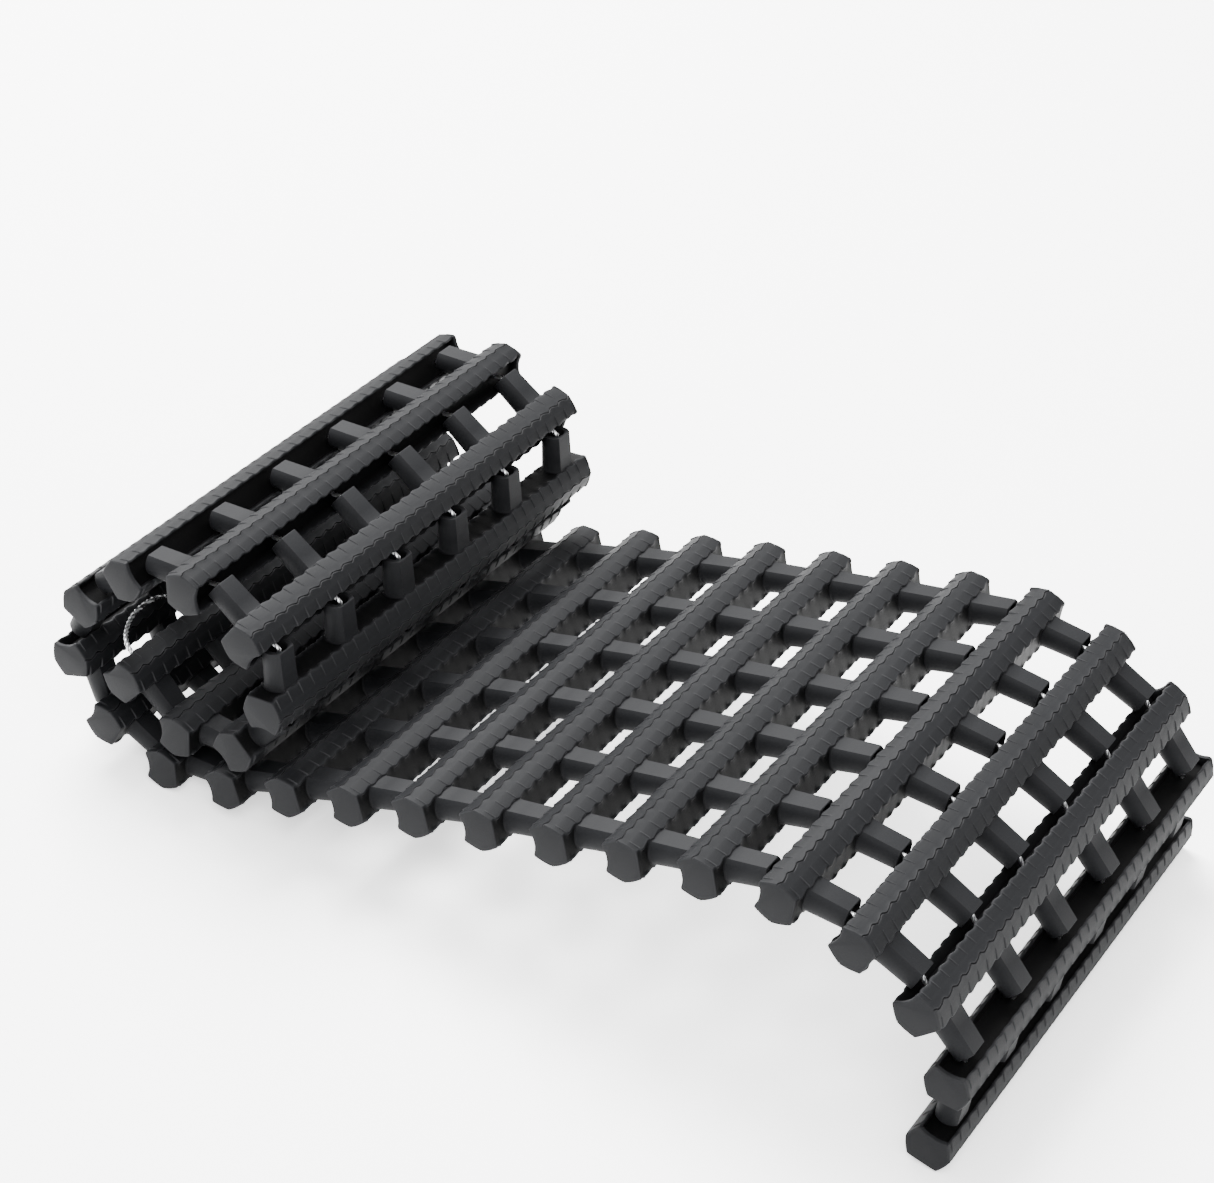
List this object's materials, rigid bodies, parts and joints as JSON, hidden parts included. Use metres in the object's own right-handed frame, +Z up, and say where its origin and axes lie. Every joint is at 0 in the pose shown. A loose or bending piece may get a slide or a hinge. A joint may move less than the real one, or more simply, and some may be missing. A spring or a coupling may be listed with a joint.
{
  "type": "tire traction mat",
  "caption": "Roll-up traction mat of moulded rubber rungs strung on steel cables, half rolled, laid under a tyre stuck in snow.",
  "frame": {"origin": "centre of the footprint at ground level, with the mat half rolled and standing on its roll and its drooping end", "axes": "+X along the mat from the roll to the drooping end, +Y along the rungs, +Z up"},
  "size_m": [0.4082, 0.22, 0.1091],
  "materials": {
    "moulded_rubber": "matte charcoal moulded rubber with a fine grain and ribbed edges",
    "cable_steel": "bright twisted wire rope",
    "crimp_steel": "satin pressed sleeve"
  },
  "bodies": {
    "rung_01": {"rung_01": "moulded_rubber"},
    "rung_02": {"rung_02": "moulded_rubber"},
    "rung_03": {"rung_03": "moulded_rubber"},
    "rung_04": {"rung_04": "moulded_rubber"},
    "rung_05": {"rung_05": "moulded_rubber"},
    "rung_06": {"rung_06": "moulded_rubber"},
    "rung_07": {"rung_07": "moulded_rubber"},
    "rung_08": {"rung_08": "moulded_rubber"},
    "rung_09": {"rung_09": "moulded_rubber"},
    "rung_10": {"rung_10": "moulded_rubber"},
    "rung_11": {"rung_11": "moulded_rubber"},
    "rung_12": {"rung_12": "moulded_rubber"},
    "rung_13": {"rung_13": "moulded_rubber"},
    "rung_14": {"rung_14": "moulded_rubber"},
    "rung_15": {"rung_15": "moulded_rubber"},
    "rung_16": {"rung_16": "moulded_rubber", "cable_a": "cable_steel", "cable_b": "cable_steel", "cable_c": "cable_steel"},
    "rung_17": {"rung_17": "moulded_rubber"},
    "rung_18": {"rung_18": "moulded_rubber"},
    "rung_19": {"rung_19": "moulded_rubber"},
    "rung_20": {"rung_20": "moulded_rubber"},
    "rung_21": {"rung_21": "moulded_rubber"},
    "rung_22": {"rung_22": "moulded_rubber"},
    "rung_23": {"rung_23": "moulded_rubber"},
    "rung_24": {"rung_24": "moulded_rubber", "cable_crimp_1": "crimp_steel", "cable_crimp_2": "crimp_steel", "cable_crimp_3": "crimp_steel", "cable_crimp_4": "crimp_steel", "cable_crimp_5": "crimp_steel", "cable_crimp_6": "crimp_steel"}
  },
  "joints": [
    {"name": "fold_01", "type": "hinge", "parent": "rung_02", "child": "rung_01", "pos_m": [-0.15185, 0, 0.02914], "axis": [0, -1, 0], "range_deg": [0, 40.01]},
    {"name": "fold_02", "type": "hinge", "parent": "rung_03", "child": "rung_02", "pos_m": [-0.12035, 0, 0.02903], "axis": [0, -1, 0], "range_deg": [0, 47.01]},
    {"name": "fold_03", "type": "hinge", "parent": "rung_04", "child": "rung_03", "pos_m": [-0.09879, 0, 0.05199], "axis": [0, -1, 0], "range_deg": [0, 50.01]},
    {"name": "fold_04", "type": "hinge", "parent": "rung_05", "child": "rung_04", "pos_m": [-0.10252, 0, 0.08327], "axis": [0, -1, 0], "range_deg": [0, 50.01]},
    {"name": "fold_05", "type": "hinge", "parent": "rung_06", "child": "rung_05", "pos_m": [-0.12888, 0, 0.10052], "axis": [0, -1, 0], "range_deg": [0, 36.01]},
    {"name": "fold_06", "type": "hinge", "parent": "rung_07", "child": "rung_06", "pos_m": [-0.16034, 0, 0.09898], "axis": [0, -1, 0], "range_deg": [0, 35.01]},
    {"name": "fold_07", "type": "hinge", "parent": "rung_08", "child": "rung_07", "pos_m": [-0.18523, 0, 0.07968], "axis": [0, -1, 0], "range_deg": [0, 27.01]},
    {"name": "fold_08", "type": "hinge", "parent": "rung_09", "child": "rung_08", "pos_m": [-0.19864, 0, 0.05117], "axis": [0, -1, 0], "range_deg": [0, 46.01]},
    {"name": "fold_09", "type": "hinge", "parent": "rung_10", "child": "rung_09", "pos_m": [-0.18745, 0, 0.02173], "axis": [0, -1, 0], "range_deg": [0, 44], "deforming": ["cable_a", "cable_b", "cable_c"]},
    {"name": "fold_10", "type": "hinge", "parent": "rung_11", "child": "rung_10", "pos_m": [-0.15895, 0, 0.00831], "axis": [0, -1, 0], "range_deg": [0, 30.01]},
    {"name": "fold_11", "type": "hinge", "parent": "rung_12", "child": "rung_11", "pos_m": [-0.12756, 0, 0.01095], "axis": [0, -1, 0], "range_deg": [0, 16.01]},
    {"name": "fold_12", "type": "hinge", "parent": "rung_13", "child": "rung_12", "pos_m": [-0.09812, 0, 0.02214], "axis": [0, -1, 0], "range_deg": [-10, 10]},
    {"name": "fold_13", "type": "hinge", "parent": "rung_14", "child": "rung_13", "pos_m": [-0.06848, 0, 0.03281], "axis": [0, -1, 0], "range_deg": [-10, 10]},
    {"name": "fold_14", "type": "hinge", "parent": "rung_15", "child": "rung_14", "pos_m": [-0.03866, 0, 0.04296], "axis": [0, -1, 0], "range_deg": [-10, 10]},
    {"name": "fold_15", "type": "hinge", "parent": "rung_16", "child": "rung_15", "pos_m": [-0.00867, 0, 0.05259], "axis": [0, -1, 0], "range_deg": [-10, 10]},
    {"name": "fold_16", "type": "hinge", "parent": "rung_16", "child": "rung_17", "pos_m": [0.02164, 0, 0.06116], "axis": [0, 1, 0], "range_deg": [-10, 10]},
    {"name": "fold_17", "type": "hinge", "parent": "rung_17", "child": "rung_18", "pos_m": [0.05195, 0, 0.06974], "axis": [0, 1, 0], "range_deg": [-10, 10]},
    {"name": "fold_18", "type": "hinge", "parent": "rung_18", "child": "rung_19", "pos_m": [0.08241, 0, 0.07779], "axis": [0, 1, 0], "range_deg": [-10, 10]},
    {"name": "fold_19", "type": "hinge", "parent": "rung_19", "child": "rung_20", "pos_m": [0.11286, 0, 0.08583], "axis": [0, 1, 0], "range_deg": [-18.01, 1.16]},
    {"name": "fold_20", "type": "hinge", "parent": "rung_20", "child": "rung_21", "pos_m": [0.14431, 0, 0.08408], "axis": [0, 1, 0], "range_deg": [-20.01, 1.29]},
    {"name": "fold_21", "type": "hinge", "parent": "rung_21", "child": "rung_22", "pos_m": [0.17327, 0, 0.07167], "axis": [0, 1, 0], "range_deg": [-22.01, 1.41]},
    {"name": "fold_22", "type": "hinge", "parent": "rung_22", "child": "rung_23", "pos_m": [0.19546, 0, 0.04932], "axis": [0, 1, 0], "range_deg": [-47, 3]},
    {"name": "fold_23", "type": "hinge", "parent": "rung_23", "child": "rung_24", "pos_m": [0.19425, 0, 0.01784], "axis": [0, 1, 0], "range_deg": [-8.01, 0.52]}
  ],
  "couplings": [
    {"joint": "fold_01", "follows": "fold_09", "ratio": 0.90909},
    {"joint": "fold_02", "follows": "fold_09", "ratio": 1.0682},
    {"joint": "fold_03", "follows": "fold_09", "ratio": 1.1364},
    {"joint": "fold_04", "follows": "fold_09", "ratio": 1.1364},
    {"joint": "fold_05", "follows": "fold_09", "ratio": 0.81818},
    {"joint": "fold_06", "follows": "fold_09", "ratio": 0.79546},
    {"joint": "fold_07", "follows": "fold_09", "ratio": 0.61364},
    {"joint": "fold_08", "follows": "fold_09", "ratio": 1.0455},
    {"joint": "fold_10", "follows": "fold_09", "ratio": 0.68182},
    {"joint": "fold_11", "follows": "fold_09", "ratio": 0.36364},
    {"joint": "fold_12", "follows": "fold_15", "ratio": 1},
    {"joint": "fold_13", "follows": "fold_15", "ratio": 1},
    {"joint": "fold_14", "follows": "fold_15", "ratio": 1},
    {"joint": "fold_16", "follows": "fold_15", "ratio": 1},
    {"joint": "fold_17", "follows": "fold_15", "ratio": 1},
    {"joint": "fold_18", "follows": "fold_15", "ratio": 1},
    {"joint": "fold_19", "follows": "fold_22", "ratio": 0.38298},
    {"joint": "fold_20", "follows": "fold_22", "ratio": 0.42553},
    {"joint": "fold_21", "follows": "fold_22", "ratio": 0.46808},
    {"joint": "fold_23", "follows": "fold_22", "ratio": 0.17021}
  ]
}
